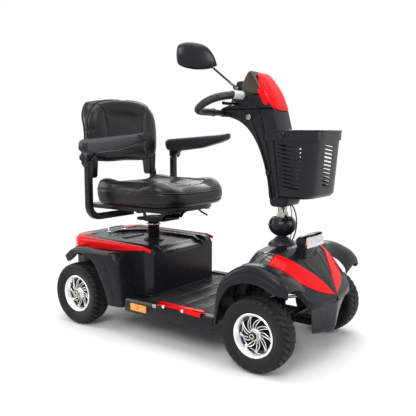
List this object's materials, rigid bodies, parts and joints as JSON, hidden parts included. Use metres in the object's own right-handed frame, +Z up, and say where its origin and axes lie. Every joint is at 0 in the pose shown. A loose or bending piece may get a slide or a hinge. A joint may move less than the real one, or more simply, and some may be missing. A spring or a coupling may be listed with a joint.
{
  "type": "mobility scooter",
  "caption": "Four-wheel mobility scooter with tilting steered tiller, loop handlebar, basket, mirror, swivel sliding seat, folding backrest and flip-up armrests.",
  "frame": {"origin": "on the ground, midway between the front and rear axles and midway between the left and right wheels", "axes": "+X forward, +Y to the rider's left, +Z up"},
  "size_m": [1.2013, 0.618, 1.1033],
  "materials": {
    "black_steel": "satin black powder coat",
    "charcoal_plastic": "satin moulded charcoal",
    "red_gloss": "gloss red",
    "amber_lens": "amber prismatic reflector",
    "clear_lens": "clear lens over a bright reflector",
    "head_bronze": "satin with a warm sheen",
    "tyre_rubber": "matte rubber",
    "rim_alloy": "polished",
    "black_rubber": "matte",
    "grip_foam": "fine foam grip",
    "black_vinyl": "soft gloss vinyl",
    "chrome": "polished",
    "black_plastic": "satin black",
    "mirror_glass": "mirror"
  },
  "bodies": {
    "chassis": {"main_frame": "black_steel", "floor_pan": "charcoal_plastic", "floor_mat": "black_rubber", "sill_trim_right": "red_gloss", "sill_trim_left": "red_gloss", "side_reflector_right": "amber_lens", "side_reflector_left": "amber_lens", "front_shroud": "charcoal_plastic", "nose_panel_right": "red_gloss", "nose_panel_left": "red_gloss", "bumper_plate": "charcoal_plastic", "headlight": "clear_lens", "steering_boot": "black_rubber", "rear_cover": "charcoal_plastic", "rear_trim": "red_gloss", "carry_handle": "chrome", "battery_right": "black_plastic", "battery_left": "black_plastic", "controller": "black_plastic", "transaxle": "black_steel"},
    "freewheel": {"freewheel_lever": "red_gloss"},
    "wheel_front_left": {"tyre_front_left": "tyre_rubber", "rim_front_left": "rim_alloy"},
    "wheel_front_right": {"tyre_front_right": "tyre_rubber", "rim_front_right": "rim_alloy"},
    "wheel_rear_left": {"tyre_rear_left": "tyre_rubber", "rim_rear_left": "rim_alloy"},
    "wheel_rear_right": {"tyre_rear_right": "tyre_rubber", "rim_rear_right": "rim_alloy"},
    "knuckle_left": {"knuckle_left": "black_steel"},
    "knuckle_right": {"knuckle_right": "black_steel"},
    "tie_rod": {"tie_rod": "black_steel"},
    "steering": {"steering_column": "black_steel", "tilt_cover": "black_plastic"},
    "tiller": {"tiller_cover": "charcoal_plastic", "tiller_tube": "black_steel", "tiller_head": "head_bronze", "tiller_shield": "red_gloss", "handle_loop": "grip_foam", "mirror_arm": "chrome", "basket_bracket": "black_steel", "tiller_lead": "black_plastic"},
    "throttle": {"throttle_lever": "black_plastic"},
    "dial": {"speed_dial": "black_plastic"},
    "key": {"ignition_key": "chrome"},
    "horn": {"horn_button": "red_gloss"},
    "mirror": {"mirror_shell": "black_plastic", "mirror_glass": "mirror_glass"},
    "basket": {"basket": "black_plastic"},
    "seat_post": {"seat_post": "black_steel"},
    "swivel": {"swivel_base": "black_steel"},
    "seat": {"seat_pan": "black_steel", "seat_cushion": "black_vinyl"},
    "slide_lever": {"slide_lever": "black_plastic"},
    "backrest": {"back_pad": "black_vinyl", "back_frame": "black_steel"},
    "arm_left": {"armrest_bracket_left": "black_steel"},
    "armrest_left": {"armrest_left": "black_plastic"},
    "arm_right": {"armrest_bracket_right": "black_steel"},
    "armrest_right": {"armrest_right": "black_plastic"}
  },
  "joints": [
    {"name": "steer", "type": "hinge", "parent": "chassis", "child": "steering", "pos_m": [0.373, 0, 0.3], "axis": [0, 0, 1], "range_deg": [-30, 30]},
    {"name": "knuckle_turn_left", "type": "hinge", "parent": "chassis", "child": "knuckle_left", "pos_m": [0.435, 0.227, 0.12889], "axis": [0, 0, 1], "range_deg": [-24, 24]},
    {"name": "knuckle_turn_right", "type": "hinge", "parent": "chassis", "child": "knuckle_right", "pos_m": [0.435, -0.227, 0.12889], "axis": [0, 0, 1], "range_deg": [-24, 24]},
    {"name": "tie_rod_turn", "type": "hinge", "parent": "knuckle_left", "child": "tie_rod", "pos_m": [0.39, 0.227, 0.15889], "axis": [0, 0, 1], "range_deg": [-24, 24]},
    {"name": "wheel_spin_front_left", "type": "hinge", "parent": "knuckle_left", "child": "wheel_front_left", "pos_m": [0.435, 0.265, 0.12889], "axis": [0, 1, 0], "continuous": true},
    {"name": "wheel_spin_front_right", "type": "hinge", "parent": "knuckle_right", "child": "wheel_front_right", "pos_m": [0.435, -0.265, 0.12889], "axis": [0, 1, 0], "continuous": true},
    {"name": "wheel_spin_rear_left", "type": "hinge", "parent": "chassis", "child": "wheel_rear_left", "pos_m": [-0.435, 0.265, 0.12889], "axis": [0, 1, 0], "continuous": true},
    {"name": "wheel_spin_rear_right", "type": "hinge", "parent": "chassis", "child": "wheel_rear_right", "pos_m": [-0.435, -0.265, 0.12889], "axis": [0, 1, 0], "continuous": true},
    {"name": "freewheel_turn", "type": "hinge", "parent": "chassis", "child": "freewheel", "pos_m": [-0.47, -0.056, 0.16389], "axis": [0, 1, 0], "range_deg": [0, 25]},
    {"name": "tiller_tilt", "type": "hinge", "parent": "steering", "child": "tiller", "pos_m": [0.373, 0, 0.458], "axis": [0, 1, 0], "range_deg": [-20, 0]},
    {"name": "throttle_swing", "type": "hinge", "parent": "tiller", "child": "throttle", "pos_m": [0.186, 0, 0.905], "axis": [0, 0, 1], "range_deg": [-12, 12], "stiffness_Nm_per_rad": 1.5},
    {"name": "dial_turn", "type": "hinge", "parent": "tiller", "child": "dial", "pos_m": [0.18642, 0, 0.95839], "axis": [-0.9409, 0, 0.3387], "range_deg": [0, 270]},
    {"name": "key_turn", "type": "hinge", "parent": "tiller", "child": "key", "pos_m": [0.18642, -0.034, 0.95839], "axis": [-0.9409, 0, 0.3387], "range_deg": [0, 60]},
    {"name": "horn_press", "type": "slide", "parent": "tiller", "child": "horn", "axis": [0.9409, 0, -0.3387], "range_m": [0, 0.0025], "stiffness_N_per_m": 300},
    {"name": "mirror_turn", "type": "hinge", "parent": "tiller", "child": "mirror", "pos_m": [0.19779, -0.19254, 1.02], "axis": [-0.416, -0.7206, 0.5547], "range_deg": [-20, 20]},
    {"name": "basket_lift", "type": "slide", "parent": "tiller", "child": "basket", "axis": [0, 0, 1], "range_m": [0, 0.12]},
    {"name": "seat_height", "type": "slide", "parent": "chassis", "child": "seat_post", "axis": [0, 0, 1], "range_m": [0, 0.06]},
    {"name": "seat_swivel", "type": "hinge", "parent": "seat_post", "child": "swivel", "pos_m": [-0.267, 0, 0.43], "axis": [0, 0, 1], "range_deg": [0, 90]},
    {"name": "seat_slide", "type": "slide", "parent": "swivel", "child": "seat", "axis": [1, 0, 0], "range_m": [-0.04, 0.04]},
    {"name": "slide_lever_lift", "type": "hinge", "parent": "seat", "child": "slide_lever", "pos_m": [-0.15, 0.1183, 0.487], "axis": [0, 1, 0], "range_deg": [-6, 0], "stiffness_Nm_per_rad": 0.5, "springref_deg": 11.46},
    {"name": "backrest_fold", "type": "hinge", "parent": "seat", "child": "backrest", "pos_m": [-0.455, 0, 0.64], "axis": [0, 1, 0], "range_deg": [0, 65]},
    {"name": "arm_width_left", "type": "slide", "parent": "seat", "child": "arm_left", "axis": [0, 1, 0], "range_m": [0, 0.04]},
    {"name": "arm_width_right", "type": "slide", "parent": "seat", "child": "arm_right", "axis": [0, -1, 0], "range_m": [0, 0.04]},
    {"name": "armrest_lift_left", "type": "hinge", "parent": "arm_left", "child": "armrest_left", "pos_m": [-0.378, 0.268, 0.7], "axis": [0, -1, 0], "range_deg": [0, 90]},
    {"name": "armrest_lift_right", "type": "hinge", "parent": "arm_right", "child": "armrest_right", "pos_m": [-0.378, -0.268, 0.7], "axis": [0, -1, 0], "range_deg": [0, 90]}
  ],
  "couplings": [
    {"joint": "knuckle_turn_left", "follows": "steer", "ratio": 0.8},
    {"joint": "knuckle_turn_right", "follows": "steer", "ratio": 0.8},
    {"joint": "tie_rod_turn", "follows": "steer", "ratio": -0.8}
  ]
}
